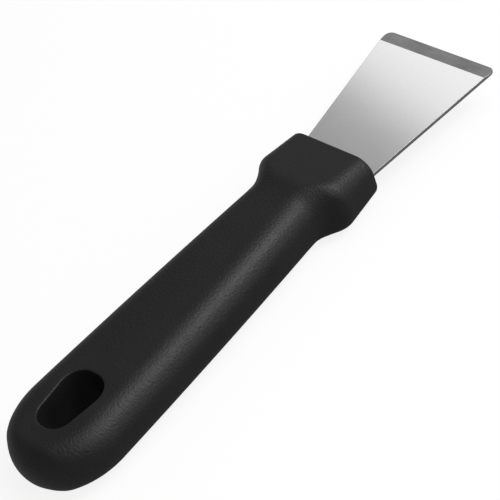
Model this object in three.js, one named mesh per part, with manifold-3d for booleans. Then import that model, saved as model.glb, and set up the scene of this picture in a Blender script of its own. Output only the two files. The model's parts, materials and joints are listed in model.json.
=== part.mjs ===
// Kitchen scraper: a stamped steel blade with a ground edge, held by its tang in a moulded plastic handle.
// Millimetres. X runs from the handle's butt to the blade's edge, Y to the left and Z up. The tool lies
// flat, with its origin under the middle of its length, on the surface that the handle rests on.

import * as THREE from 'three';
import { mergeVertices } from 'three/addons/utils/BufferGeometryUtils.js';
import Module from 'manifold-3d';

// Blade, the fan of sheet steel in front of the handle
const BLADE_REACH = 48.8; // from the handle's front face to the edge
const EDGE_WIDTH = 40;
const SHEET_THICKNESS = 1.2;
const TIP_RADIUS = 2.2; // corners at the two ends of the edge
const GRIND_LENGTH = 4.7; // ground band, measured back from the edge
const EDGE_THICKNESS = 0.5; // steel left at the edge
const BLADE_LEAN = THREE.MathUtils.degToRad(2.3); // the sheet rises towards its edge

// Tang, the part of the sheet inside the handle
const ROOT_DEPTH = 8; // from the front face to where the fan steps in
const ROOT_FILLET = 2;
const TANG_WIDTH = 14;
const TANG_END_RADIUS = 4;
const TANG_END_WALL = 20; // plastic between the tang's end and the hanging hole
const LOCK_HOLE_DIAMETER = 6;
const LOCK_HOLE_PITCH = 20;
const LOCK_HOLE_MARGIN = 10; // least distance from either end of the tang to a hole's middle
const TANG_CLEARANCE = 0.3; // between the steel and the plastic round it

// Handle, along its length
const HANDLE_LENGTH = 126.2;
const BUTT_ROUND = 20.4; // length over which the butt rounds off, seen from above
const BUTT_NOSE = 6.1; // the same, seen from the side
const BLOCK_LENGTH = 14.1; // front block along its sides, from its shoulder to the front face
const CROWN_LENGTH = 17.6; // the same along its upper and lower faces
const FLARE_LENGTH = 9.3; // from the waist to the shoulder
const FLARE_RISE = 5.6; // the steep part of the flare, next to the shoulder
const SHOULDER_SOFTENING = 2; // reach of the shoulder's rounding, to each side
const FRONT_EDGE = 1; // rounding of the rim round the front face

// Handle, across its length
const BUTT_WIDTH = 34.6;
const GRIP_WIDTH = 30.9; // half way between the butt and the waist
const WAIST_WIDTH = 23.9;
const SHOULDER_WIDTH = 32.5;
const FRONT_WIDTH = 30.2;
const BUTT_HEIGHT = 17.1;
const GRIP_HEIGHT = 17.1;
const WAIST_HEIGHT = 17.9;
const SHOULDER_HEIGHT = 19.5;
const FRONT_HEIGHT = 14.1;
const GRIP_ROUNDING = 7.9; // rounding of the grip's long edges
const SHOULDER_ROUNDING = 7.1; // rounding of the block's long edges at its shoulder
const FRONT_ROUNDING = 5.4; // the same at the front face
const BLADE_SIDE_WALL = 1.7; // plastic beside the blade in the front face

// Hanging hole, narrow towards the butt
const HOLE_SETBACK = 11.2; // from the butt to the hole
const HOLE_LENGTH = 19.6;
const HOLE_WIDE = 15;
const HOLE_NARROW = 10;
const HOLE_WIDE_RADIUS = 5.8;
const HOLE_NARROW_RADIUS = 5;
const HOLE_RIM = 0.8; // rounding of the hole's rim

// Fineness of the facets
const BUTT_STEPS = 12;
const OUTLINE_STEPS = 8;
const SECTION_STEPS = 36;
const ARC_STEPS = 6;
const RIM_STEPS = 3;
const LEAST_STEP = 0.05; // between two cross-sections of the handle
const CUT_MARGIN = 1; // how far a cutting body stands clear of what it cuts

// Places that more than one piece shares
const HOLE_END_X = HOLE_SETBACK + HOLE_LENGTH;
const TANG_DEPTH = HANDLE_LENGTH - HOLE_END_X - TANG_END_WALL;
const NECK_HALF = FRONT_WIDTH / 2 - BLADE_SIDE_WALL;

const wasm = await Module();
wasm.setup();

// A closed geometry as a solid that can be joined and cut.
function solidOf(geometry) {
  const bare = geometry.clone();
  bare.deleteAttribute('normal');
  bare.deleteAttribute('uv');
  const merged = mergeVertices(bare);
  const vertProperties = merged.getAttribute('position').array;
  const triVerts = Uint32Array.from(merged.index.array);
  return new wasm.Manifold(new wasm.Mesh({ numProp: 3, vertProperties, triVerts }));
}

function geometryOf(solid) {
  const { vertProperties, triVerts } = solid.getMesh();
  const geometry = new THREE.BufferGeometry();
  geometry.setAttribute('position', new THREE.BufferAttribute(vertProperties, 3));
  geometry.setIndex(new THREE.BufferAttribute(triVerts, 1));
  geometry.computeVertexNormals();
  return geometry;
}

// The points of a closed outline through corners given as [x, y, radius] in counter-clockwise order, with an
// arc at each corner that has a radius.
function roundedOutline(corners) {
  return corners.flatMap(([x, y, radius], i) => {
    const corner = new THREE.Vector2(x, y);
    if (radius === 0) return [corner];
    const [backX, backY] = corners.at(i - 1);
    const [aheadX, aheadY] = corners[(i + 1) % corners.length];
    const back = new THREE.Vector2(backX, backY).sub(corner).normalize();
    const ahead = new THREE.Vector2(aheadX, aheadY).sub(corner).normalize();
    const halfAngle = back.angleTo(ahead) / 2;
    const centre = back.clone().add(ahead).setLength(radius / Math.sin(halfAngle)).add(corner);
    const start = corner.clone().addScaledVector(back, radius / Math.tan(halfAngle));
    const turn = (Math.PI - 2 * halfAngle) * Math.sign(ahead.cross(back));
    const steps = Array.from({ length: ARC_STEPS + 1 }, (_, k) => k / ARC_STEPS);
    return steps.map((share) => start.clone().rotateAround(centre, share * turn));
  });
}

// A skin over a row of rings with equally many points, closed at each end by a fan round a middle point.
function loft(rings, startMiddle, endMiddle) {
  const count = rings[0].length;
  const points = [startMiddle, ...rings.flat(), endMiddle];
  const endIndex = points.length - 1;
  const index = [];
  const at = (ring, k) => 1 + ring * count + (k % count);
  for (let k = 0; k < count; k += 1) {
    index.push(0, at(0, k + 1), at(0, k));
    for (let ring = 0; ring + 1 < rings.length; ring += 1) {
      index.push(at(ring, k), at(ring, k + 1), at(ring + 1, k + 1));
      index.push(at(ring, k), at(ring + 1, k + 1), at(ring + 1, k));
    }
    index.push(endIndex, at(rings.length - 1, k), at(rings.length - 1, k + 1));
  }
  const geometry = new THREE.BufferGeometry().setFromPoints(points);
  geometry.setIndex(index);
  return geometry;
}

// The blade is drawn flat, with x = 0 where it leaves the handle. This is half the width between its straight
// sides, which run from the neck to touch the arcs at the tip and go on at the same slope into the handle.
function fanHalf(x) {
  const alongX = BLADE_REACH - TIP_RADIUS;
  const alongY = EDGE_WIDTH / 2 - TIP_RADIUS - NECK_HALF;
  const sideAngle = Math.atan2(alongY, alongX) + Math.asin(TIP_RADIUS / Math.hypot(alongX, alongY));
  return NECK_HALF + Math.tan(sideAngle) * x;
}

function fanOutline() {
  const tipHalf = fanHalf(BLADE_REACH);
  const outline = roundedOutline([
    [0, -NECK_HALF, 0],
    [BLADE_REACH, -tipHalf, TIP_RADIUS],
    [BLADE_REACH, tipHalf, TIP_RADIUS],
    [0, NECK_HALF, 0],
  ]);
  return new THREE.Shape(outline);
}

// The sheet inside the handle, up to frontX. Grown on all sides, it is the pocket that the sheet lies in.
function tangOutline(frontX, grow) {
  const frontHalf = fanHalf(frontX) + grow;
  const rootHalf = fanHalf(-ROOT_DEPTH) + grow;
  const tangHalf = TANG_WIDTH / 2 + grow;
  const rootX = -ROOT_DEPTH - grow;
  const endX = -TANG_DEPTH - grow;
  const outline = roundedOutline([
    [frontX, -frontHalf, 0],
    [frontX, frontHalf, 0],
    [rootX, rootHalf, ROOT_FILLET + grow],
    [rootX, tangHalf, ROOT_FILLET - grow],
    [endX, tangHalf, TANG_END_RADIUS + grow],
    [endX, -tangHalf, TANG_END_RADIUS + grow],
    [rootX, -tangHalf, ROOT_FILLET - grow],
    [rootX, -rootHalf, ROOT_FILLET + grow],
  ]);
  const shape = new THREE.Shape(outline);
  const lastHoleX = LOCK_HOLE_MARGIN - TANG_DEPTH;
  for (let x = -ROOT_DEPTH - LOCK_HOLE_MARGIN; x >= lastHoleX; x -= LOCK_HOLE_PITCH) {
    const hole = new THREE.Path();
    hole.absarc(x, 0, LOCK_HOLE_DIAMETER / 2 - grow, 0, 2 * Math.PI, true);
    shape.holes.push(hole);
  }
  return shape;
}

// A flat sheet of the given outline, with its middle plane at z = 0.
function sheet(shape, thickness) {
  const geometry = new THREE.ExtrudeGeometry(shape, {
    depth: thickness,
    bevelEnabled: false,
    curveSegments: ARC_STEPS,
  });
  return geometry.translate(0, 0, -thickness / 2);
}

// What the grinding takes off the upper face: a wedge that deepens towards the edge.
function grindingWedge() {
  const top = SHEET_THICKNESS / 2;
  const fall = (SHEET_THICKNESS - EDGE_THICKNESS) / GRIND_LENGTH;
  const width = EDGE_WIDTH + 2 * CUT_MARGIN;
  const profile = new THREE.Shape();
  profile.moveTo(BLADE_REACH - GRIND_LENGTH, top);
  profile.lineTo(BLADE_REACH + CUT_MARGIN, top - fall * (GRIND_LENGTH + CUT_MARGIN));
  profile.lineTo(BLADE_REACH + CUT_MARGIN, top + CUT_MARGIN);
  profile.lineTo(BLADE_REACH - GRIND_LENGTH, top + CUT_MARGIN);
  const geometry = new THREE.ExtrudeGeometry(profile, { depth: width, bevelEnabled: false });
  return geometry.rotateX(Math.PI / 2).translate(0, width / 2, 0);
}

function bladeGeometry() {
  const fan = solidOf(sheet(fanOutline(), SHEET_THICKNESS)).subtract(solidOf(grindingWedge()));
  const tang = solidOf(sheet(tangOutline(0, 0), SHEET_THICKNESS));
  return geometryOf(fan.add(tang));
}

// A half size of the handle drawn along its length: an even curve from the butt through the grip to the
// waist, a flare up to the shoulder, and the straight taper of the block to the rim of the front face.
function handleOutline(blockLength, butt, grip, waist, shoulder, front) {
  const shoulderX = HANDLE_LENGTH - blockLength;
  const waistX = shoulderX - FLARE_LENGTH;
  const gripBend = new THREE.Vector2(waistX / 2, 2 * grip - (butt + waist) / 2);
  const waistSlope = (waist - gripBend.y) / (waistX - gripBend.x);
  const flareStart = waist + waistSlope * (FLARE_LENGTH - FLARE_RISE);
  const flareBend = new THREE.Vector2(shoulderX - FLARE_RISE, flareStart);
  const shoulderCorner = new THREE.Vector2(shoulderX, shoulder);
  const frontCorner = new THREE.Vector2(HANDLE_LENGTH, front);
  const flareEnd = shoulderCorner.clone().lerp(flareBend, SHOULDER_SOFTENING / FLARE_RISE);
  const blockStart = shoulderCorner.clone().lerp(frontCorner, SHOULDER_SOFTENING / blockLength);
  const blockEnd = frontCorner.clone().lerp(shoulderCorner, FRONT_EDGE / blockLength);
  const path = new THREE.Path();
  path.moveTo(0, butt);
  path.quadraticCurveTo(gripBend.x, gripBend.y, waistX, waist);
  path.quadraticCurveTo(flareBend.x, flareBend.y, flareEnd.x, flareEnd.y);
  path.quadraticCurveTo(shoulderCorner.x, shoulderCorner.y, blockStart.x, blockStart.y);
  path.lineTo(blockEnd.x, blockEnd.y);
  path.quadraticCurveTo(frontCorner.x, frontCorner.y, HANDLE_LENGTH, front - FRONT_EDGE);
  return path.getPoints(OUTLINE_STEPS);
}

const PLAN = handleOutline(
  BLOCK_LENGTH,
  BUTT_WIDTH / 2,
  GRIP_WIDTH / 2,
  WAIST_WIDTH / 2,
  SHOULDER_WIDTH / 2,
  FRONT_WIDTH / 2,
);
const PROFILE = handleOutline(
  CROWN_LENGTH,
  BUTT_HEIGHT / 2,
  GRIP_HEIGHT / 2,
  WAIST_HEIGHT / 2,
  SHOULDER_HEIGHT / 2,
  FRONT_HEIGHT / 2,
);
const ROUNDING = handleOutline(
  BLOCK_LENGTH,
  GRIP_ROUNDING,
  GRIP_ROUNDING,
  GRIP_ROUNDING,
  SHOULDER_ROUNDING,
  FRONT_ROUNDING,
);

// The size that an outline gives at x, on the straight line between its two nearest points.
function sizeAt(outline, x) {
  const next = Math.max(1, outline.findIndex((point) => point.x >= x));
  const before = outline[next - 1];
  const after = outline[next];
  return THREE.MathUtils.mapLinear(x, before.x, after.x, before.y, after.y);
}

// How much of a size is left near the butt, which rounds off over the given length as a quarter ellipse.
function buttShare(x, length) {
  const inset = Math.max(0, 1 - x / length);
  return Math.sqrt(1 - inset * inset);
}

function halfHeightAt(x) {
  return sizeAt(PROFILE, x) * buttShare(x, BUTT_NOSE);
}

// One cross-section: a rectangle with rounded corners, with a point in the middle of each side.
function section(x) {
  const halfWidth = sizeAt(PLAN, x) * buttShare(x, BUTT_ROUND);
  const halfHeight = halfHeightAt(x);
  const roundingY = Math.min(halfWidth, sizeAt(ROUNDING, x));
  const roundingZ = Math.min(halfHeight, sizeAt(ROUNDING, x));
  const quarter = SECTION_STEPS / 4;
  return Array.from({ length: SECTION_STEPS }, (_, k) => {
    const angle = (2 * Math.PI * k) / SECTION_STEPS;
    const sideY = k % (2 * quarter) === quarter ? 0 : Math.sign(Math.cos(angle));
    const sideZ = k % (2 * quarter) === 0 ? 0 : Math.sign(Math.sin(angle));
    const y = sideY * (halfWidth - roundingY) + roundingY * Math.cos(angle);
    const z = sideZ * (halfHeight - roundingZ) + roundingZ * Math.sin(angle);
    return new THREE.Vector3(x, y, z);
  });
}

// The places of the cross-sections, from the front face back to the butt: those of the plan, and those of the
// profile in front of the grip.
function sectionPlaces() {
  const drawn = [...PLAN, ...PROFILE.slice(OUTLINE_STEPS)].map((point) => point.x).sort((a, b) => b - a);
  const places = [HANDLE_LENGTH];
  for (const x of drawn) {
    if (x > BUTT_ROUND && places.at(-1) - x >= LEAST_STEP) places.push(x);
  }
  for (let step = BUTT_STEPS; step > 0; step -= 1) {
    places.push(BUTT_ROUND * (1 - Math.cos((Math.PI / 2) * (step / BUTT_STEPS))));
  }
  return places;
}

function handleBody() {
  const places = sectionPlaces().reverse();
  const buttEnd = new THREE.Vector3(0, 0, 0);
  const frontMiddle = new THREE.Vector3(HANDLE_LENGTH, 0, 0);
  return loft(places.map(section), buttEnd, frontMiddle);
}

// The hanging hole's outline, grown on all sides.
function holeOutline(grow) {
  const narrow = HOLE_NARROW / 2 + grow;
  const wide = HOLE_WIDE / 2 + grow;
  return roundedOutline([
    [HOLE_SETBACK - grow, -narrow, HOLE_NARROW_RADIUS + grow],
    [HOLE_END_X + grow, -wide, HOLE_WIDE_RADIUS + grow],
    [HOLE_END_X + grow, wide, HOLE_WIDE_RADIUS + grow],
    [HOLE_SETBACK - grow, narrow, HOLE_NARROW_RADIUS + grow],
  ]);
}

// What the hanging hole takes out of the handle. It widens at both faces, where it rounds the rim, and the
// rim follows the rise of the face along the handle.
function holeCutter() {
  const upper = [];
  for (let step = 0; step <= RIM_STEPS; step += 1) {
    const angle = (Math.PI / 2) * (step / RIM_STEPS);
    const sink = HOLE_RIM * (1 - Math.sin(angle));
    const outline = holeOutline(HOLE_RIM * (1 - Math.cos(angle)));
    upper.push(outline.map(({ x, y }) => new THREE.Vector3(x, y, halfHeightAt(x) - sink)));
  }
  const reach = Math.max(...PROFILE.map((point) => point.y)) + CUT_MARGIN;
  upper.push(holeOutline(HOLE_RIM).map(({ x, y }) => new THREE.Vector3(x, y, reach)));
  const lower = upper.map((ring) => ring.map(({ x, y, z }) => new THREE.Vector3(x, y, -z)));
  const middleX = (HOLE_SETBACK + HOLE_END_X) / 2;
  const rings = [...lower.reverse(), ...upper];
  return loft(rings, new THREE.Vector3(middleX, 0, -reach), new THREE.Vector3(middleX, 0, reach));
}

// The handle with its hanging hole and with the pocket for the blade, which lies where bladePlace puts it.
function handleGeometry(bladePlace) {
  const pocketShape = tangOutline(CUT_MARGIN, TANG_CLEARANCE);
  const pocket = sheet(pocketShape, SHEET_THICKNESS + 2 * TANG_CLEARANCE).applyMatrix4(bladePlace);
  return geometryOf(solidOf(handleBody()).subtract(solidOf(holeCutter())).subtract(solidOf(pocket)));
}

const steel = new THREE.MeshStandardMaterial({ color: 0xc9cbcc, roughness: 0.3, metalness: 1 });
const blackPlastic = new THREE.MeshStandardMaterial({ color: 0x1d1d1e, roughness: 0.55, metalness: 0 });

const blade = new THREE.Mesh(bladeGeometry(), steel);
blade.name = 'blade';
blade.position.x = HANDLE_LENGTH;
blade.rotation.y = -BLADE_LEAN;
blade.updateMatrix();

const handle = new THREE.Mesh(handleGeometry(blade.matrix), blackPlastic);
handle.name = 'handle';

const scraper = new THREE.Group();
scraper.add(blade, handle);
const box = new THREE.Box3().setFromObject(scraper, true);
scraper.position.set(-(box.min.x + box.max.x) / 2, 0, -box.min.z);

export default scraper;
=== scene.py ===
# %% [markdown]
# # A kitchen scraper, from a frame of solids to a finished look
#
# The object is a small scraper for pans and hobs: a fan of satin steel, ground along its front
# edge, held in a black moulded handle. The solids of its construction are loaded as a fixed frame.
# This lesson gives both of them a finer surface, a finish and a light, without moving or resizing
# anything.

# %% The frame
import json
import math
from bisect import bisect_left

import bmesh
import bpy
from mathutils import Matrix, Vector
from mathutils.geometry import interpolate_bezier


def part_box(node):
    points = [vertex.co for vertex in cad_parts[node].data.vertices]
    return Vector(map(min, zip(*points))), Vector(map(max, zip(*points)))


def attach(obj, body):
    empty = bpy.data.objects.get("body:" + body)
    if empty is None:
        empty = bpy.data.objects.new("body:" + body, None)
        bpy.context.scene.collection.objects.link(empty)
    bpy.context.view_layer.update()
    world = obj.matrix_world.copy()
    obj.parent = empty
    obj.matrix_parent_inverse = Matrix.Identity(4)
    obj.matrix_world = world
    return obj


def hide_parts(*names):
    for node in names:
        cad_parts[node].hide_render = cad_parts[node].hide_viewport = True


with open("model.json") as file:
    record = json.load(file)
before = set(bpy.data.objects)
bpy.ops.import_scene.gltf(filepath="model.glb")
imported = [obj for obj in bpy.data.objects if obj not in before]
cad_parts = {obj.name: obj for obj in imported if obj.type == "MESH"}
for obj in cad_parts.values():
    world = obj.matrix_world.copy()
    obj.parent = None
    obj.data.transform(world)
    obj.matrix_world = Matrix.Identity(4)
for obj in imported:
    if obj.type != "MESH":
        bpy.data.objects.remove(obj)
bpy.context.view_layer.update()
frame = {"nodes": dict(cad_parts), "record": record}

handle_low, handle_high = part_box("handle")
blade_low, blade_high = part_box("blade")
print("nodes in the frame:", sorted(frame["nodes"]))

# %% [markdown]
# The frame also gives the places that the pieces share. The handle is alike above and below its
# middle plane, so that plane is half way up its box. The blade's flat back has a mount in the
# record, and the direction of that mount tells how far the steel leans up from the handle.

# %% Shared places
MM = 0.001

BUTT_X = handle_low.x
FRONT_X = handle_high.x
HANDLE_LENGTH = FRONT_X - BUTT_X
MIDDLE_Z = (handle_low.z + handle_high.z) / 2
blade_back = frame["record"]["mounts"][0]
BLADE_LEAN = math.asin(blade_back["axis"][0])
print(f"handle: {HANDLE_LENGTH / MM:.1f} mm long")
print(f"blade: leans up by {math.degrees(BLADE_LEAN):.1f} degrees")

# %% [markdown]
# The camera comes first, because every later choice is judged through it. It looks down on the tool
# from behind its butt and from its right, and it is turned about its own line of sight, so that the
# tool lies across the picture from corner to corner. It could be placed by three rotation angles,
# but an orbit round a target is easier to read: a compass direction, a height angle, a distance and
# a roll.

# %% Camera
IMAGE_SIDE_PX = 500
FOCAL_PX = 2000
SENSOR_WIDTH = 36
CAMERA_AZIMUTH = math.radians(-121.92)
CAMERA_ELEVATION = math.radians(43.25)
CAMERA_ROLL = math.radians(-22.12)
CAMERA_DISTANCE = 546.4 * MM
CAMERA_TARGET = Vector((1.0 * MM, -0.5 * MM, MIDDLE_Z + 0.1 * MM))


def make_camera():
    data = bpy.data.cameras.new("camera")
    data.sensor_width = SENSOR_WIDTH
    data.lens = FOCAL_PX * SENSOR_WIDTH / IMAGE_SIDE_PX
    camera = bpy.data.objects.new("camera", data)
    bpy.context.scene.collection.objects.link(camera)
    turn = Matrix.Rotation(CAMERA_AZIMUTH + math.pi / 2, 4, "Z")
    tilt = Matrix.Rotation(math.pi / 2 - CAMERA_ELEVATION, 4, "X")
    roll = Matrix.Rotation(CAMERA_ROLL, 4, "Z")
    back_off = Matrix.Translation((0, 0, CAMERA_DISTANCE))
    camera.matrix_world = Matrix.Translation(CAMERA_TARGET) @ turn @ tilt @ roll @ back_off
    bpy.context.scene.camera = camera
    return camera


camera = make_camera()
print("camera at", [round(c, 3) for c in camera.matrix_world.translation])

# %% [markdown]
# Each piece is modelled in a bmesh, Blender's editable mesh, and becomes an object at the end. The
# object stays at the origin, and its place is in its vertices, as for the solids of the frame.
# Smooth shading blends the normals across all faces, so edges sharper than a given angle are marked
# to stay crisp.

# %% From a bmesh to a piece
SHARP_ANGLE = math.radians(40)
MERGE_DISTANCE = 0.0005 * MM


def finished_piece(bm, name, node, materials):
    bmesh.ops.remove_doubles(bm, verts=bm.verts, dist=MERGE_DISTANCE)
    bmesh.ops.recalc_face_normals(bm, faces=bm.faces)
    for edge in bm.edges:
        edge.smooth = edge.calc_face_angle(0) < SHARP_ANGLE
    mesh = bpy.data.meshes.new(name)
    bm.to_mesh(mesh)
    bm.free()
    for material in materials:
        mesh.materials.append(material)
    piece = bpy.data.objects.new(name, mesh)
    bpy.context.scene.collection.objects.link(piece)
    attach(piece, "root")
    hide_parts(node)
    print(f"{name}: {len(mesh.polygons)} faces")


# %% [markdown]
# ## The blade
#
# The blade is one stamping of steel sheet: a fan with two rounded corners at its ground edge, and a
# tang with locking holes that the moulding hides. It is drawn flat, as the sheet was cut.

# %% Sizes of the blade
SHEET_THICKNESS = 1.2 * MM
EDGE_DROP = SHEET_THICKNESS / 2 * math.sin(BLADE_LEAN)
BLADE_REACH = (blade_high.x - FRONT_X - EDGE_DROP) / math.cos(BLADE_LEAN)
EDGE_HALF = blade_high.y
NECK_HALF = 13.4 * MM
ROOT_DEPTH = 8 * MM
TANG_WIDTH = 14 * MM
TANG_DEPTH = FRONT_X - blade_low.x
TIP_RADIUS = 2.2 * MM
GRIND_LENGTH = 4.7 * MM
EDGE_THICKNESS = 0.5 * MM
GRIND_LINE = BLADE_REACH - GRIND_LENGTH
ROOT_FILLET = 2 * MM
TANG_END_RADIUS = 4 * MM
LOCK_HOLE_RADIUS = 3 * MM
LOCK_HOLE_PITCH = 20 * MM
LOCK_HOLE_MARGIN = 10 * MM


def side_slope():
    """Slope of the fan's straight sides, which touch the arcs of its corners."""
    along = BLADE_REACH - TIP_RADIUS
    across = EDGE_HALF - TIP_RADIUS - NECK_HALF
    return math.tan(math.atan2(across, along) + math.asin(TIP_RADIUS / math.hypot(along, across)))


SIDE_SLOPE = side_slope()
ROOT_HALF = NECK_HALF - ROOT_DEPTH * SIDE_SLOPE
opening = math.degrees(math.atan(SIDE_SLOPE))
print(f"blade: reaches {BLADE_REACH / MM:.1f} mm, its sides open at {opening:.1f} degrees")

# %% [markdown]
# The outline starts as one face with a vertex at each corner. A bevel of vertices rounds each pair
# of corners with an arc, and circles mark the locking holes. Filling between these loops, and
# giving the face a thickness, makes the sheet.

# %% The stamped sheet
ARC_SEGMENTS = 12
HOLE_SEGMENTS = 32


def round_corners(bm, corners, radius):
    for vert in corners:
        first, second = (edge.other_vert(vert).co - vert.co for edge in vert.link_edges)
        offset = radius / math.tan(first.angle(second) / 2)
        bmesh.ops.bevel(
            bm, geom=[vert], offset=offset, offset_type="OFFSET", affect="VERTICES",
            segments=ARC_SEGMENTS, profile=0.5, material=-1,
        )


def stamped_outline(bm):
    tip_half = NECK_HALF + BLADE_REACH * SIDE_SLOPE
    tang_half = TANG_WIDTH / 2
    half = [
        (BLADE_REACH, tip_half, TIP_RADIUS),
        (-ROOT_DEPTH, ROOT_HALF, ROOT_FILLET),
        (-ROOT_DEPTH, tang_half, ROOT_FILLET),
        (-TANG_DEPTH, tang_half, TANG_END_RADIUS),
    ]
    left = [bm.verts.new((x, y, 0)) for x, y, _ in half]
    right = [bm.verts.new((x, -y, 0)) for x, y, _ in half]
    bm.faces.new(left + right[::-1])
    for pair, (_, _, radius) in zip(zip(left, right), half):
        round_corners(bm, pair, radius)


def sheet_with_holes(bm):
    bmesh.ops.delete(bm, geom=bm.faces[:], context="FACES_ONLY")
    x = -ROOT_DEPTH - LOCK_HOLE_MARGIN
    while x >= LOCK_HOLE_MARGIN - TANG_DEPTH:
        place = Matrix.Translation((x, 0, 0))
        bmesh.ops.create_circle(bm, segments=HOLE_SEGMENTS, radius=LOCK_HOLE_RADIUS, matrix=place)
        x -= LOCK_HOLE_PITCH
    bmesh.ops.triangle_fill(bm, edges=bm.edges[:], use_beauty=True, use_dissolve=True)
    bmesh.ops.solidify(bm, geom=bm.faces[:], thickness=SHEET_THICKNESS)
    middle = sum(vert.co.z for vert in bm.verts) / len(bm.verts)
    bmesh.ops.translate(bm, verts=bm.verts, vec=(0, 0, -middle))
    print(f"sheet: {len(bm.faces)} faces")


# %% [markdown]
# The edge is ground on the upper face only. A cut across the sheet makes the line where the
# grinding starts, and what lies in front of it is lowered towards the edge. The rims get a small
# bevel, because a perfectly sharp rim never catches the light as sheared steel does.

# %% Ground edge and rims
RIM_BEVEL = 0.12 * MM
RIM_SEGMENTS = 3
PLANE_TOLERANCE = 0.001 * MM


def whole(bm):
    return bm.verts[:] + bm.edges[:] + bm.faces[:]


def grind_edge(bm):
    fall = (SHEET_THICKNESS - EDGE_THICKNESS) / GRIND_LENGTH
    bmesh.ops.bisect_plane(
        bm, geom=whole(bm), dist=PLANE_TOLERANCE,
        plane_co=(GRIND_LINE, 0, 0), plane_no=(1, 0, 0),
    )
    for vert in bm.verts:
        if vert.co.z > 0 and vert.co.x > GRIND_LINE:
            vert.co.z -= fall * (vert.co.x - GRIND_LINE)


def soften_rims(bm):
    rims = [
        edge for edge in bm.edges
        if edge.calc_face_angle(0) > SHARP_ANGLE and min(v.co.x for v in edge.verts) >= -ROOT_DEPTH
    ]
    bmesh.ops.bevel(
        bm, geom=rims, offset=RIM_BEVEL, offset_type="OFFSET", affect="EDGES",
        segments=RIM_SEGMENTS, profile=0.5, material=-1,
    )
    print(f"rims: {len(rims)} edges bevelled")


# %% [markdown]
# ## The handle
#
# The handle is one moulding. Seen from above and from the side it follows the same kind of line: an
# even curve from the butt through the grip to the waist, a flare up to a shoulder, and a straight
# taper to the front face. The shoulder of the upper and lower faces, the crown of the block, lies a
# little further back than that of the sides. A modeller could push and pull a subdivided box until
# it looks right. Here the lines are drawn as curves, because then the long highlight on the grip
# runs without a wave.

# %% Lines along the handle
BUTT_ROUND = 20.4 * MM
BUTT_NOSE = 6.1 * MM
BLOCK_LENGTH = 14.1 * MM
CROWN_LENGTH = 17.6 * MM
FLARE_LENGTH = 9.3 * MM
FLARE_RISE = 5.6 * MM
SHOULDER_SOFTENING = 2 * MM
FRONT_EDGE = 1 * MM
LINE_STEPS = 24


def bent_line(start, bend, end):
    """A curve with one bend, drawn as the cubic curve that has the same shape."""
    first = start.lerp(bend, 2 / 3)
    second = end.lerp(bend, 2 / 3)
    return interpolate_bezier(start, first, second, end, LINE_STEPS + 1)


def line_along_handle(block_length, butt, grip, waist, shoulder, front):
    """Points (distance from the butt, half size, 0) from half sizes at five places."""
    shoulder_x = HANDLE_LENGTH - block_length
    waist_x = shoulder_x - FLARE_LENGTH
    butt_point = Vector((0, butt, 0))
    waist_point = Vector((waist_x, waist, 0))
    grip_bend = Vector((waist_x / 2, 2 * grip - (butt + waist) / 2, 0))
    slope = (waist - grip_bend.y) / (waist_x - grip_bend.x)
    flare_foot = waist + slope * (FLARE_LENGTH - FLARE_RISE)
    flare_bend = Vector((shoulder_x - FLARE_RISE, flare_foot, 0))
    shoulder_point = Vector((shoulder_x, shoulder, 0))
    front_corner = Vector((HANDLE_LENGTH, front, 0))
    flare_end = shoulder_point.lerp(flare_bend, SHOULDER_SOFTENING / FLARE_RISE)
    block_start = shoulder_point.lerp(front_corner, SHOULDER_SOFTENING / block_length)
    block_end = front_corner.lerp(shoulder_point, FRONT_EDGE / block_length)
    front_point = Vector((HANDLE_LENGTH, front - FRONT_EDGE, 0))
    return (
        bent_line(butt_point, grip_bend, waist_point)
        + bent_line(waist_point, flare_bend, flare_end)[1:]
        + bent_line(flare_end, shoulder_point, block_start)[1:]
        + bent_line(block_start, block_start.lerp(block_end, 0.5), block_end)[1:]
        + bent_line(block_end, front_corner, front_point)[1:]
    )


# %% [markdown]
# Three such lines shape the handle: its half width, its half height and the rounding of its long
# edges. Each is set by sizes at five places: the butt, the middle of the grip, the waist, the
# shoulder and the front face.

# %% Sizes of the handle
BUTT_WIDTH = 34.6 * MM
GRIP_WIDTH = 30.9 * MM
WAIST_WIDTH = 23.9 * MM
SHOULDER_WIDTH = 32.5 * MM
FRONT_WIDTH = 30.2 * MM
GRIP_HEIGHT = 17.1 * MM
WAIST_HEIGHT = 17.9 * MM
SHOULDER_HEIGHT = 19.5 * MM
FRONT_HEIGHT = 14.1 * MM
GRIP_ROUNDING = 7.9 * MM
SHOULDER_ROUNDING = 7.1 * MM
FRONT_ROUNDING = 5.4 * MM
HALF_WIDTH_LINE = line_along_handle(
    BLOCK_LENGTH,
    butt=BUTT_WIDTH / 2,
    grip=GRIP_WIDTH / 2,
    waist=WAIST_WIDTH / 2,
    shoulder=SHOULDER_WIDTH / 2,
    front=FRONT_WIDTH / 2,
)
HALF_HEIGHT_LINE = line_along_handle(
    CROWN_LENGTH,
    butt=GRIP_HEIGHT / 2,
    grip=GRIP_HEIGHT / 2,
    waist=WAIST_HEIGHT / 2,
    shoulder=SHOULDER_HEIGHT / 2,
    front=FRONT_HEIGHT / 2,
)
ROUNDING_LINE = line_along_handle(
    BLOCK_LENGTH,
    butt=GRIP_ROUNDING,
    grip=GRIP_ROUNDING,
    waist=GRIP_ROUNDING,
    shoulder=SHOULDER_ROUNDING,
    front=FRONT_ROUNDING,
)
print("points along the handle:", len(HALF_WIDTH_LINE))

# %% [markdown]
# Across its length the handle is a rectangle with rounded corners. Two lines give its half sizes
# and the third its rounding. Near the butt both half sizes shrink like a quarter of an ellipse,
# which closes the end in a round nose.

# %% Sizes of a cross-section


def size_at(line, x):
    after = max(1, bisect_left(line, x, key=lambda point: point.x))
    after = min(after, len(line) - 1)
    before = line[after - 1]
    share = (x - before.x) / (line[after].x - before.x)
    return before.y + share * (line[after].y - before.y)


def butt_share(x, length):
    inset = min(1, max(0, 1 - x / length))
    return math.sqrt(1 - inset * inset)


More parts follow.
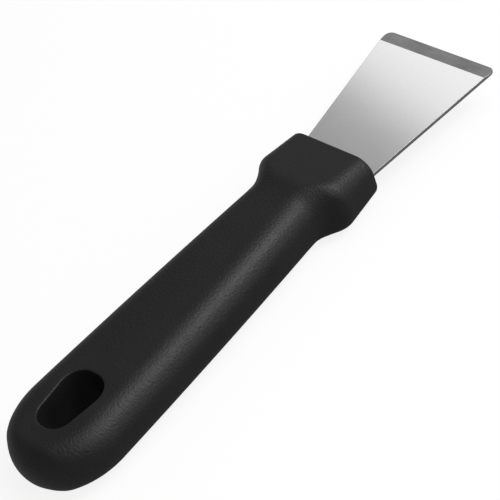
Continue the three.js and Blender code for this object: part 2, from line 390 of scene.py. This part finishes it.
def half_width(x):
    return size_at(HALF_WIDTH_LINE, x) * butt_share(x, BUTT_ROUND)


def half_height(x):
    return size_at(HALF_HEIGHT_LINE, x) * butt_share(x, BUTT_NOSE)


def surface_height(x, y):
    """How far the upper surface stands above the middle plane."""
    wide, high, rounding = half_width(x), half_height(x), size_at(ROUNDING_LINE, x)
    across = min(wide, rounding)
    up = min(high, rounding)
    over = max(0, abs(y) - (wide - across))
    if across == 0:
        return 0
    return high - up + up * math.sqrt(max(0, 1 - (over / across) ** 2))


print(f"grip at half length: {2 * half_width(HANDLE_LENGTH / 2) / MM:.1f} mm wide")

# %% [markdown]
# One cross-section as a ring of points: from the middle of the left side, over the top to the right
# side, and back underneath. Each entry says how far out it lies on the flats and how far round on
# the corner, so the same list fits a section of any size, also the slot that the blade comes out
# of.

# %% Points of a cross-section
CORNER_STEPS = 14
FLAT_STEPS = 10


def section_pattern():
    corner = [math.pi / 2 * k / CORNER_STEPS for k in range(1, CORNER_STEPS + 1)]
    left = [(1, math.cos(angle), 1, math.sin(angle)) for angle in corner]
    flat = [(1 - 2 * k / FLAT_STEPS, 0, 1, 1) for k in range(1, FLAT_STEPS)]
    right = [(-a, -b, c, d) for a, b, c, d in reversed(left)]
    over = left + flat + right
    under = [(a, b, -c, -d) for a, b, c, d in reversed(over)]
    return [(1, 1, 0, 0)] + over + [(-1, -1, 0, 0)] + under


SECTION = section_pattern()
UPPER_COUNT = len(SECTION) // 2 + 1


def section(x, wide, high, rounding):
    across = min(wide, rounding)
    up = min(high, rounding)
    return [
        Vector((x, a * (wide - across) + b * across, c * (high - up) + d * up))
        for a, b, c, d in SECTION
    ]


def handle_section(x):
    return section(x, half_width(x), half_height(x), size_at(ROUNDING_LINE, x))


print("points in a cross-section:", len(SECTION))

# %% [markdown]
# A ring becomes a skin when it is extruded: its edges leave a copy of themselves joined by new
# faces, and the copy is moved to the next place. That is how a modeller draws a tube ring by ring,
# and it keeps all faces four-sided. The helper follows each vertex to its copy, so that no ring can
# twist.

# %% Rings


def start_ring(bm, places):
    verts = bmesh.ops.create_circle(bm, segments=len(places))["verts"]
    for vert, place in zip(verts, places):
        vert.co = place
    return verts


def extrude_ring(bm, ring, places):
    edges = [bm.edges.get(pair) for pair in zip(ring, ring[1:] + ring[:1])]
    made = bmesh.ops.extrude_edge_only(bm, edges=edges)["geom"]
    copies = {item for item in made if isinstance(item, bmesh.types.BMVert)}
    following = []
    for vert, place in zip(ring, places):
        neighbours = (edge.other_vert(vert) for edge in vert.link_edges)
        copy = next(other for other in neighbours if other in copies)
        copy.co = place
        following.append(copy)
    return following


# %% [markdown]
# The butt has a long hanging hole, narrower towards the end, with an arc at each of its four
# corners. A curve could draw that outline. A distance from the outline is more useful here: it also
# gives the outline of the rim, which is the same hole grown by a little, and it tells where a ray
# from the middle of the hole leaves either of them.

# %% The hanging hole seen from above
HOLE_SETBACK = 11.2 * MM
HOLE_LENGTH = 19.6 * MM
HOLE_NARROW = 10 * MM
HOLE_WIDE = 15 * MM
HOLE_NARROW_RADIUS = 5 * MM
HOLE_WIDE_RADIUS = 5.8 * MM
HOLE_RIM = 0.5 * MM
HOLE_MIDDLE = Vector((HOLE_SETBACK + HOLE_LENGTH / 2, 0))
HOLE_SIDE = Vector((HOLE_LENGTH, (HOLE_WIDE - HOLE_NARROW) / 2)).normalized()
BUTT_END_X = 48 * MM
SEARCH_STEPS = 40


def hole_distance(point):
    """Distance outside the hole's outline, negative inside, from the nearest corner's arc."""
    if point.x < HOLE_MIDDLE.x:
        way, half, radius = -1, HOLE_NARROW / 2, HOLE_NARROW_RADIUS
    else:
        way, half, radius = 1, HOLE_WIDE / 2, HOLE_WIDE_RADIUS
    outward = Vector((-HOLE_SIDE.y, HOLE_SIDE.x))
    corner = HOLE_MIDDLE + Vector((way * HOLE_LENGTH / 2, half))
    centre_x = corner.x - way * radius
    centre_y = corner.y - (way * radius * HOLE_SIDE.y + radius) / HOLE_SIDE.x
    away = Vector((point.x - centre_x, abs(point.y) - centre_y))
    if away.y > 0 and way * away.dot(HOLE_SIDE) > 0:
        return away.length - radius
    return max(away.dot(outward), way * away.x) - radius


def inside_handle(point):
    return 0 <= point.x <= BUTT_END_X and abs(point.y) <= half_width(point.x)


def reach(angle, inside):
    """The point where a ray from the middle of the hole leaves a region."""
    ray = Vector((math.cos(angle), math.sin(angle)))
    near, far = 0, 2 * BUTT_END_X
    for _ in range(SEARCH_STEPS):
        middle = (near + far) / 2
        if inside(HOLE_MIDDLE + middle * ray):
            near = middle
        else:
            far = middle
    return HOLE_MIDDLE + near * ray


print(f"hanging hole: {HOLE_LENGTH / MM:.1f} mm long, {HOLE_WIDE / MM:.1f} mm across its wide end")

# %% [markdown]
# A boolean cut would leave thin triangles round the hole, and they show in a soft highlight. So the
# butt is built as rings that run round the hole, from its wall over the rounded rim and the upper
# face out to the edge seen from above. Each point lies on a ray from the middle of the hole, and
# its height is read from the surface. The lower half is a mirror image.

# %% The butt round its hole
BUTT_RAYS = 110
FACE_STEPS = 18
RIM_STEPS = 4


def ray_angles():
    """Rays to each point of the section where the butt ends, then on round the butt."""
    upper = handle_section(BUTT_END_X)[:UPPER_COUNT]
    over = [math.atan2(place.y, place.x - HOLE_MIDDLE.x) for place in upper]
    sweep = 2 * math.pi - (over[0] - over[-1])
    return over + [over[-1] - sweep * k / BUTT_RAYS for k in range(1, BUTT_RAYS)]


def on_surface(place, sink=0):
    return Vector((place.x, place.y, surface_height(place.x, place.y) - sink))


def build_butt(bm):
    angles = ray_angles()
    wall = [reach(angle, lambda point: hole_distance(point) <= 0) for angle in angles]
    ring = start_ring(bm, [place.to_3d() for place in wall])
    for step in range(RIM_STEPS + 1):
        turn = math.pi / 2 * step / RIM_STEPS
        grow = HOLE_RIM * (1 - math.cos(turn))
        rim = [reach(angle, lambda point: hole_distance(point) <= grow) for angle in angles]
        sink = HOLE_RIM * (1 - math.sin(turn))
        ring = extrude_ring(bm, ring, [on_surface(place, sink) for place in rim])
    edge = [reach(angle, inside_handle) for angle in angles]
    for step in range(1, FACE_STEPS):
        share = math.sin(math.pi / 2 * step / FACE_STEPS)
        between = [near.lerp(far, share) for near, far in zip(rim, edge)]
        ring = extrude_ring(bm, ring, [on_surface(place) for place in between])
    open_end = handle_section(BUTT_END_X)[:UPPER_COUNT]
    extrude_ring(bm, ring, open_end + [place.to_3d() for place in edge[UPPER_COUNT:]])
    bmesh.ops.mirror(bm, geom=whole(bm), axis="Z", merge_dist=PLANE_TOLERANCE)
    print(f"butt: {len(bm.faces)} faces")


# %% [markdown]
# The rest of the handle goes on from the open end of the butt, section by section, to the front
# face. There the ring closes in round the blade, turns inwards and follows the hidden part of the
# steel, its tang, to the end, so that the slot is as deep as the real one.

# %% The grip, the block and the slot
RING_GAP = 0.04 * MM
FACE_MARGIN = 0.4 * MM
SLOT_GAP = 0.05 * MM
SLOT_CORNER = 0.15 * MM


def grip_places():
    """Where both lines have their points, from the front face back to the butt."""
    places = [HANDLE_LENGTH]
    both_lines = [point.x for point in HALF_WIDTH_LINE + HALF_HEIGHT_LINE]
    for x in sorted(both_lines, reverse=True):
        if BUTT_END_X + RING_GAP < x < places[-1] - RING_GAP:
            places.append(x)
    return places


def build_grip(bm):
    ring = [vert for vert in bm.verts if vert.is_boundary]
    ring.sort(key=lambda vert: math.atan2(vert.co.z, vert.co.y) % (2 * math.pi))
    places = grip_places()
    for x in reversed(places):
        ring = extrude_ring(bm, ring, handle_section(x))
    print(f"grip and block: {len(places)} rings")
    wide = half_width(HANDLE_LENGTH) - FACE_MARGIN
    high = half_height(HANDLE_LENGTH) - FACE_MARGIN
    rounding = size_at(ROUNDING_LINE, HANDLE_LENGTH) - FACE_MARGIN
    return extrude_ring(bm, ring, section(HANDLE_LENGTH, wide, high, rounding))


def build_slot(bm, ring):
    high = SHEET_THICKNESS / 2 + SLOT_GAP
    lean = Matrix.Rotation(-BLADE_LEAN, 4, "Y")
    mouth = Vector((HANDLE_LENGTH, 0, 0))
    for depth, wide in (
        (0, NECK_HALF),
        (ROOT_DEPTH + SLOT_GAP, ROOT_HALF),
        (ROOT_DEPTH + ROOT_FILLET + SLOT_GAP, TANG_WIDTH / 2),
        (TANG_DEPTH + SLOT_GAP, TANG_WIDTH / 2),
    ):
        places = section(-depth, wide + SLOT_GAP, high, SLOT_CORNER)
        ring = extrude_ring(bm, ring, [lean @ place + mouth for place in places])
    bmesh.ops.contextual_create(bm, geom=ring)
    print(f"handle with its slot: {len(bm.faces)} faces")


# %% [markdown]
# ## Finishes
#
# The handle is polypropylene from a mould with a fine spark-eroded texture, and the blade is
# stainless sheet in three states: satin as it was rolled, ground along the edge, and torn grey
# along its sheared sides. None of them is one flat colour. Effects that several of them share are
# node groups, built once and placed in each material with other values. A few small helpers keep
# the node code short.

# %% Helpers for nodes


def add_node(tree, kind, settings=None, inputs=None):
    """A new node. Each input is given a value, or a socket that is linked to it."""
    node = tree.nodes.new(kind)
    for name, value in (settings or {}).items():
        setattr(node, name, value)
    for name, value in (inputs or {}).items():
        if isinstance(value, bpy.types.NodeSocket):
            tree.links.new(value, node.inputs[name])
        else:
            node.inputs[name].default_value = value
    return node


def start_group(name, inputs, output):
    group = bpy.data.node_groups.new(name, "ShaderNodeTree")
    for title, kind, value in inputs:
        socket = group.interface.new_socket(title, in_out="INPUT", socket_type=kind)
        socket.default_value = value
    group.interface.new_socket(output, in_out="OUTPUT", socket_type="NodeSocketFloat")
    return group, group.nodes.new("NodeGroupInput").outputs


def end_group(group, value):
    end = group.nodes.new("NodeGroupOutput")
    group.links.new(value, end.inputs[0])
    print(f"group {group.name}: {len(group.nodes)} nodes")
    return group


def use_group(tree, group, inputs):
    return add_node(tree, "ShaderNodeGroup", {"node_tree": group}, inputs).outputs[0]


# %% [markdown]
# Grain is the smallest relief: the pebbles that a spark-eroded mould leaves on plastic. A
# photograph of a surface could give it, but a texture made by rules has no seams and no edge.
# Rounded cells make the pebbles, and a little noise keeps them from looking regular. The group
# takes a size in metres, so a reader sets it as it would be measured on the real thing. A texture
# asks for a scale instead, and that is the number of times the size goes into a metre.

# %% Fine grain


def per_metre(group, size):
    return add_node(group, "ShaderNodeMath", {"operation": "DIVIDE"}, {0: 1.0, 1: size}).outputs[0]


def make_fine_grain():
    group, given = start_group(
        "fine_grain",
        [("Vector", "NodeSocketVector", (0, 0, 0)), ("Size", "NodeSocketFloat", 0.5 * MM)],
        "Height",
    )
    scale = per_metre(group, given["Size"])
    cells = add_node(
        group, "ShaderNodeTexVoronoi", {"feature": "SMOOTH_F1"},
        {"Vector": given["Vector"], "Scale": scale, "Smoothness": 0.6},
    )
    noise = add_node(
        group, "ShaderNodeTexNoise", None,
        {"Vector": given["Vector"], "Scale": scale, "Detail": 2.0, "Roughness": 0.6},
    )
    height = add_node(
        group, "ShaderNodeMath", {"operation": "SUBTRACT"},
        {0: noise.outputs["Fac"], 1: cells.outputs["Distance"]},
    )
    return end_group(group, height.outputs[0])


FINE_GRAIN = make_fine_grain()

# %% [markdown]
# Use leaves broad patches, on plastic where palms polish it and on steel where it was wiped: the
# gloss there is a little different, with no clear border. Soft noise, spread over its full range,
# makes a mask for them.

# %% Handled patches


def make_handled_patches():
    group, given = start_group(
        "handled_patches",
        [("Vector", "NodeSocketVector", (0, 0, 0)), ("Size", "NodeSocketFloat", 20 * MM)],
        "Mask",
    )
    scale = per_metre(group, given["Size"])
    noise = add_node(
        group, "ShaderNodeTexNoise", None,
        {"Vector": given["Vector"], "Scale": scale, "Detail": 4.0, "Roughness": 0.55},
    )
    spread = add_node(
        group, "ShaderNodeMapRange", {"interpolation_type": "SMOOTHSTEP"},
        {"Value": noise.outputs["Fac"], "From Min": 0.3, "From Max": 0.7},
    )
    return end_group(group, spread.outputs[0])


HANDLED_PATCHES = make_handled_patches()

# %% [markdown]
# Rolling, grinding and shearing all leave lines in steel, each in its own direction. Noise that is
# squeezed in one direction and stretched in the other gives such lines. The group takes the two
# sizes as one vector, so that each finish turns its lines the way its tool went.

# %% Tool lines


def make_tool_lines():
    group, given = start_group(
        "tool_lines",
        [
            ("Vector", "NodeSocketVector", (0, 0, 0)),
            ("Line Size", "NodeSocketVector", (10 * MM, 0.2 * MM, 10 * MM)),
        ],
        "Height",
    )
    squeezed = add_node(
        group, "ShaderNodeVectorMath", {"operation": "DIVIDE"},
        {0: given["Vector"], 1: given["Line Size"]},
    )
    noise = add_node(
        group, "ShaderNodeTexNoise", None,
        {"Vector": squeezed.outputs[0], "Scale": 1.0, "Detail": 3.0, "Roughness": 0.6},
    )
    return end_group(group, noise.outputs["Fac"])


TOOL_LINES = make_tool_lines()

# %% [markdown]
# A material starts the same way each time: a Principled shader, and Object coordinates, which here
# are metres in the frame of the whole tool. A mask then leads both the colour and the roughness
# from one value to another. A Mix node has a set of sockets for each kind of data, all with the
# same names, so the colour ones are picked by their number.

# %% Start of a material
MIX_COLOUR_A = 6
MIX_COLOUR_B = 7
MIX_COLOUR_RESULT = 2


def start_material(name, roughness_range, colours, mask):
    """A material whose colour and roughness follow a mask, made by a function of tree and place."""
    material = bpy.data.materials.new(name)
    material.use_nodes = True
    tree = material.node_tree
    shader = tree.nodes["Principled BSDF"]
    place = add_node(tree, "ShaderNodeTexCoord").outputs["Object"]
    share = mask(tree, place)
    roughness = add_node(
        tree, "ShaderNodeMapRange", None,
        {"Value": share, "To Min": roughness_range[0], "To Max": roughness_range[1]},
    )
    colour = add_node(
        tree, "ShaderNodeMix", {"data_type": "RGBA"},
        {"Factor": share, MIX_COLOUR_A: (*colours[0], 1), MIX_COLOUR_B: (*colours[1], 1)},
    )
    tree.links.new(roughness.outputs[0], shader.inputs["Roughness"])
    tree.links.new(colour.outputs[MIX_COLOUR_RESULT], shader.inputs["Base Color"])
    print(f"material {name}: roughness {roughness_range[0]} to {roughness_range[1]}")
    return material, tree, shader, place


def add_bump(tree, shader, height, depth):
    bump = add_node(tree, "ShaderNodeBump", None, {"Height": height, "Distance": depth})
    tree.links.new(bump.outputs["Normal"], shader.inputs["Normal"])


# %% [markdown]
# The plastic is nearly black. Its look comes from the texture: the pebbles scatter a highlight into
# a soft speckled streak. Polypropylene has an index of refraction near 1.5. It is set lower here,
# because the pebbles also shade one another, and so the texture mirrors less than smooth plastic
# does.

# %% Black plastic
PLASTIC_GRAIN = 0.65 * MM
PLASTIC_GRAIN_DEPTH = 0.07 * MM
PLASTIC_IOR = 1.35
PALM_PATCH = 22 * MM


def make_black_plastic():
    def palm_patches(tree, place):
        return use_group(tree, HANDLED_PATCHES, {"Vector": place, "Size": PALM_PATCH})

    material, tree, shader, place = start_material(
        "grained_plastic",
        roughness_range=(0.44, 0.52),
        colours=((0.0035, 0.0035, 0.0037), (0.0055, 0.0055, 0.0057)),
        mask=palm_patches,
    )
    shader.inputs["IOR"].default_value = PLASTIC_IOR
    grain = use_group(tree, FINE_GRAIN, {"Vector": place, "Size": PLASTIC_GRAIN})
    add_bump(tree, shader, grain, PLASTIC_GRAIN_DEPTH)
    return material


black_plastic = make_black_plastic()

# %% [markdown]
# The three states of the steel. The satin face has only a breath of lines along the sheet. The
# ground band is duller and darker, with short marks along the edge, the way the wheel went. The
# sheared sides are darkest: tearing leaves them rough, with upright marks from the die.

# %% Steel
WIPED_PATCH = 14 * MM
LINE_SHARE = 0.7


def make_steel(name, roughness_range, colours, line_size, line_depth):
    def worn_lines(tree, place):
        patches = use_group(tree, HANDLED_PATCHES, {"Vector": place, "Size": WIPED_PATCH})
        lines = use_group(tree, TOOL_LINES, {"Vector": place, "Line Size": line_size})
        mixed = {"Factor": LINE_SHARE, "A": patches, "B": lines}
        return add_node(tree, "ShaderNodeMix", None, mixed).outputs[0]

    material, tree, shader, place = start_material(name, roughness_range, colours, worn_lines)
    shader.inputs["Metallic"].default_value = 1
    lines = use_group(tree, TOOL_LINES, {"Vector": place, "Line Size": line_size})
    add_bump(tree, shader, lines, line_depth)
    return material


satin_steel = make_steel(
    "satin_steel",
    roughness_range=(0.135, 0.15),
    colours=((0.77, 0.77, 0.77), (0.8, 0.8, 0.8)),
    line_size=(20 * MM, 0.25 * MM, 20 * MM),
    line_depth=0.0004 * MM,
)
ground_steel = make_steel(
    "ground_steel",
    roughness_range=(0.4, 0.46),
    colours=((0.15, 0.15, 0.15), (0.4, 0.4, 0.4)),
    line_size=(0.7 * MM, 6 * MM, 6 * MM),
    line_depth=0.01 * MM,
)
sheared_steel = make_steel(
    "sheared_steel",
    roughness_range=(0.55, 0.65),
    colours=((0.18, 0.18, 0.18), (0.28, 0.28, 0.28)),
    line_size=(0.2 * MM, 0.2 * MM, 2 * MM),
    line_depth=0.01 * MM,
)

# %% [markdown]
# ## Both pieces
#
# The steps above are put together here. The blade's faces get their finish by the way they face in
# the flat sheet. Level faces are satin, except in front of the line on the upper face, where they
# are ground. The others are sheared, except the bevels along the upper rim: a wheel has taken the
# burr off there, and left it ground.

# %% Both pieces
LEVEL_LIMIT = 0.97
UPPER_LIMIT = 0.5
BLADE_FINISHES = [satin_steel, ground_steel, sheared_steel]


def make_handle():
    bm = bmesh.new()
    build_butt(bm)
    build_slot(bm, build_grip(bm))
    bmesh.ops.translate(bm, verts=bm.verts, vec=(BUTT_X, 0, MIDDLE_Z))
    for face in bm.faces:
        face.smooth = True
    finished_piece(bm, "moulded_handle", "handle", [black_plastic])


def finish_faces(bm):
    for face in bm.faces:
        face.smooth = abs(face.normal.z) < LEVEL_LIMIT
        in_front = face.calc_center_median().x > GRIND_LINE
        finish = satin_steel
        if face.normal.z > UPPER_LIMIT and (face.smooth or in_front):
            finish = ground_steel
        elif face.smooth:
            finish = sheared_steel
        face.material_index = BLADE_FINISHES.index(finish)


def make_blade():
    bm = bmesh.new()
    stamped_outline(bm)
    sheet_with_holes(bm)
    grind_edge(bm)
    soften_rims(bm)
    finish_faces(bm)
    lean = Matrix.Rotation(-BLADE_LEAN, 4, "Y")
    mouth = Matrix.Translation((FRONT_X, 0, MIDDLE_Z))
    bmesh.ops.transform(bm, verts=bm.verts, matrix=mouth @ lean)
    finished_piece(bm, "steel_blade", "blade", BLADE_FINISHES)


make_handle()
make_blade()

# %% [markdown]
# ## Floor and light
#
# The tool lies on a plain white floor. A floor that is lit like anything else would never be quite
# white, so for the camera most of its colour is an even white, and the lit rest keeps the shadow.
# What the tool mirrors is the same white, but dimmer, and it fades where the tool is close above
# the floor and shades it. A floor that shines by itself isn't dimmed by what stands over it, so
# that shade is put in by ambient occlusion, the share of open sky over a point.

# %% White of the floor
FLOOR_GREY = 0.85
FLOOR_ROUGHNESS = 0.9
FLOOR_SPECULAR_LEVEL = 0.1
WHITE_SHARE = 0.85
MIRRORED_WHITE = 0.44
SHADE_REACH = 30 * MM
SHADE_SAMPLES = 8


def grey(level):
    return (level, level, level, 1)


def floor_material():
    material = bpy.data.materials.new("floor")
    material.use_nodes = True
    tree = material.node_tree
    shader = tree.nodes["Principled BSDF"]
    shader.inputs["Base Color"].default_value = grey(FLOOR_GREY)
    shader.inputs["Roughness"].default_value = FLOOR_ROUGHNESS
    shader.inputs["Specular IOR Level"].default_value = FLOOR_SPECULAR_LEVEL
    path = add_node(tree, "ShaderNodeLightPath").outputs
    mirrored = add_node(
        tree, "ShaderNodeMath", {"operation": "MAXIMUM"},
        {0: path["Is Glossy Ray"], 1: path["Is Transmission Ray"]},
    )
    open_sky = add_node(
        tree, "ShaderNodeAmbientOcclusion", {"samples": SHADE_SAMPLES}, {"Distance": SHADE_REACH}
    )
    dimmed = add_node(
        tree, "ShaderNodeMath", {"operation": "MULTIPLY"},
        {0: open_sky.outputs["AO"], 1: MIRRORED_WHITE},
    )
    strength = add_node(
        tree, "ShaderNodeMath", {"operation": "MAXIMUM"},
        {0: path["Is Camera Ray"], 1: dimmed.outputs[0]},
    )
    white = add_node(tree, "ShaderNodeEmission", None, {"Strength": strength.outputs[0]})
    seen = add_node(
        tree, "ShaderNodeMath", {"operation": "MULTIPLY"},
        {0: path["Is Camera Ray"], 1: WHITE_SHARE},
    )
    share = add_node(
        tree, "ShaderNodeMath", {"operation": "MAXIMUM"},
        {0: seen.outputs[0], 1: mirrored.outputs[0]},
    )
    mixed = add_node(
        tree, "ShaderNodeMixShader", None,
        {0: share.outputs[0], 1: shader.outputs[0], 2: white.outputs[0]},
    )
    tree.links.new(mixed.outputs[0], tree.nodes["Material Output"].inputs["Surface"])
    return material


# %% [markdown]
# The floor itself is a disc, so wide that its edge stays out of the picture. It belongs to the
# stage and not to the tool.

# %% Floor
FLOOR_RADIUS = 6
FLOOR_SEGMENTS = 64


def make_floor():
    bm = bmesh.new()
    bmesh.ops.create_circle(bm, cap_ends=True, segments=FLOOR_SEGMENTS, radius=FLOOR_RADIUS)
    mesh = bpy.data.meshes.new("floor")
    bm.to_mesh(mesh)
    bm.free()
    mesh.materials.append(floor_material())
    floor = bpy.data.objects.new("floor", mesh)
    bpy.context.scene.collection.objects.link(floor)
    print(f"floor: a disc of {FLOOR_RADIUS} m radius")


make_floor()

# %% [markdown]
# Five soft boxes and an even grey surrounding light the tool. The key is small and bright, to the
# right of the tool's front, and draws the long highlight on the grip. Three weak ones shape what
# lies round it: the ceiling softens the highlight's upper flank, the low one keeps the near side of
# the handle from going black, and the side one carries the highlight on round the butt. The front
# one is there for the steel: the blade mirrors its border, so the satin face goes from grey at the
# neck to bright at the edge. Each is placed like the camera, by a compass direction, a height angle
# and a roll, seen from the origin under the middle of the tool. A box is given its brightness
# rather than its power, so that it can be resized without looking brighter or darker in a
# reflection.

# %% Lights
SURROUND_GREY = 0.345


def soft_box(name, azimuth, elevation, distance, width, height, radiance, roll=0):
    data = bpy.data.lights.new(name, "AREA")
    data.shape = "RECTANGLE"
    data.size = width
    data.size_y = height
    data.energy = radiance * math.pi * width * height
    light = bpy.data.objects.new(name, data)
    bpy.context.scene.collection.objects.link(light)
    turn = Matrix.Rotation(math.radians(azimuth) + math.pi / 2, 4, "Z")
    tilt = Matrix.Rotation(math.pi / 2 - math.radians(elevation), 4, "X")
    spin = Matrix.Rotation(math.radians(roll), 4, "Z")
    light.matrix_world = turn @ tilt @ Matrix.Translation((0, 0, distance)) @ spin
    print(f"{name} light: {data.energy:.1f} W")


soft_box("key", azimuth=-46, elevation=49, distance=1.2, width=0.4, height=0.4, radiance=16.5)
soft_box("ceiling", azimuth=-30, elevation=72, distance=1.3, width=0.7, height=0.6, radiance=3)
soft_box("low", azimuth=-60, elevation=15, distance=1.2, width=0.8, height=0.5, radiance=2)
soft_box("side", azimuth=-100, elevation=45, distance=1.2, width=0.65, height=0.65, radiance=2)
soft_box(
    "front", azimuth=41.1, elevation=38.8, distance=1.53, width=0.485, height=0.7, radiance=0.82,
    roll=39.5,
)

world = bpy.data.worlds.new("world")
world.use_nodes = True
world.node_tree.nodes["Background"].inputs["Color"].default_value = grey(SURROUND_GREY)
bpy.context.scene.world = world
bpy.context.scene.view_settings.view_transform = "Standard"
